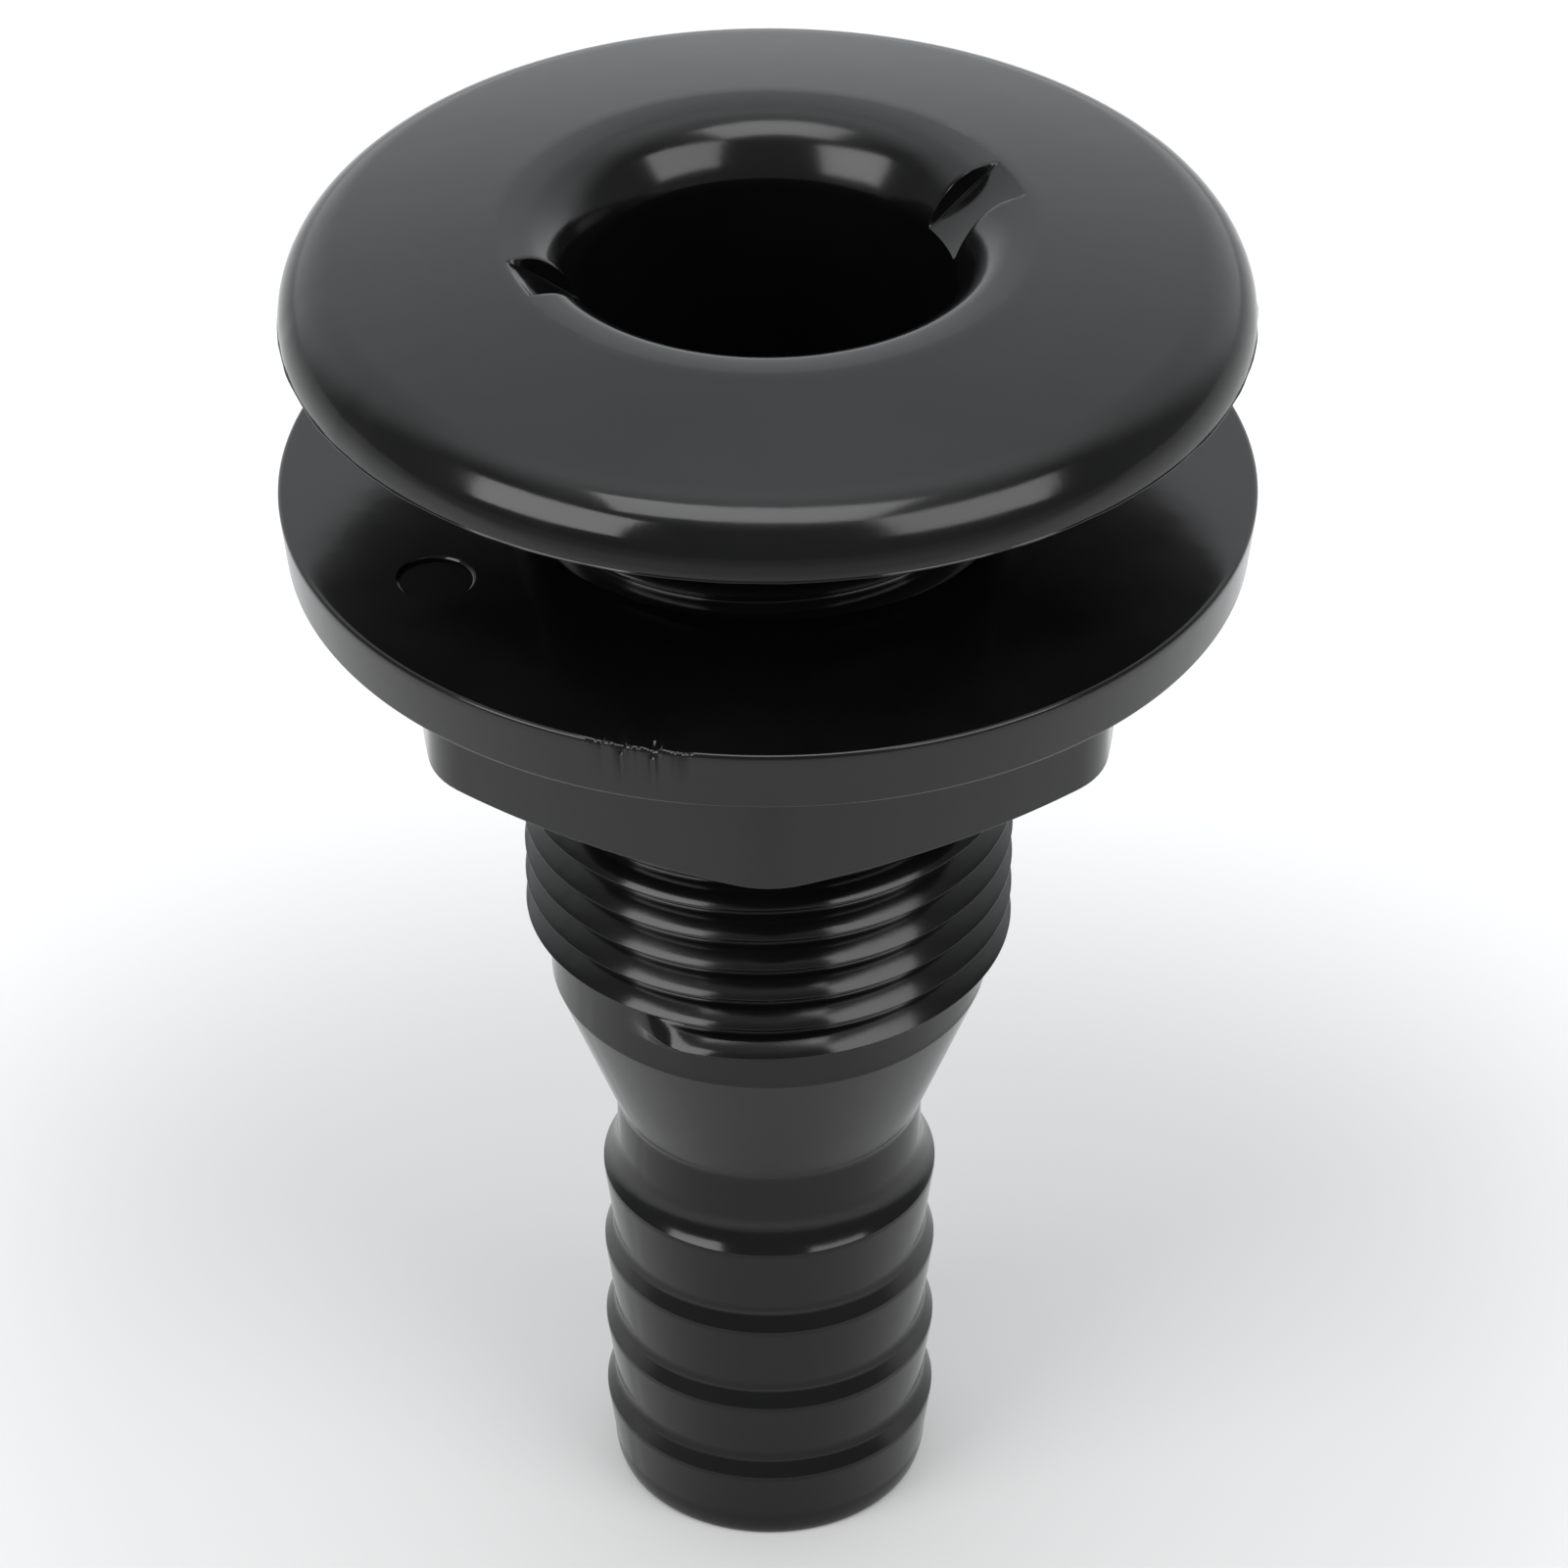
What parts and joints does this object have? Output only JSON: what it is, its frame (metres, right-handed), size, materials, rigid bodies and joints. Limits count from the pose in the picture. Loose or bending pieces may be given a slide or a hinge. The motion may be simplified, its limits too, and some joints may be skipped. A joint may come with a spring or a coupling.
{
  "type": "thru hull fitting",
  "caption": "Moulded plastic thru hull fitting: mushroom head with a rounded mouth, threaded stem, flanged hexagonal lock nut and barbed hose tail.",
  "frame": {"origin": "centre of the head's seating face, on the outside of the hull", "axes": "+Z along the stem's axis, out of the boat through the head; +X and +Y square to it, with one of the nut's corners towards -Y"},
  "size_m": [0.0586, 0.0586, 0.0926],
  "materials": {
    "body_plastic": "glossy moulded black plastic",
    "nut_plastic": "glossy moulded black plastic"
  },
  "bodies": {
    "body": {"fitting_body": "body_plastic"},
    "thread_follower": {"nut_thread": "nut_plastic"},
    "nut": {"lock_nut": "nut_plastic"}
  },
  "joints": [
    {"name": "nut_travel", "type": "slide", "parent": "body", "child": "thread_follower", "axis": [0, 0, 1], "range_m": [-0.03102, 0.0112]},
    {"name": "nut_turn", "type": "hinge", "parent": "thread_follower", "child": "nut", "pos_m": [0, 0, 0], "axis": [0, 0, 1], "range_deg": [-4940, 1783]}
  ],
  "couplings": [
    {"joint": "nut_travel", "follows": "nut_turn", "m_per_rad": 0.00035969}
  ]
}
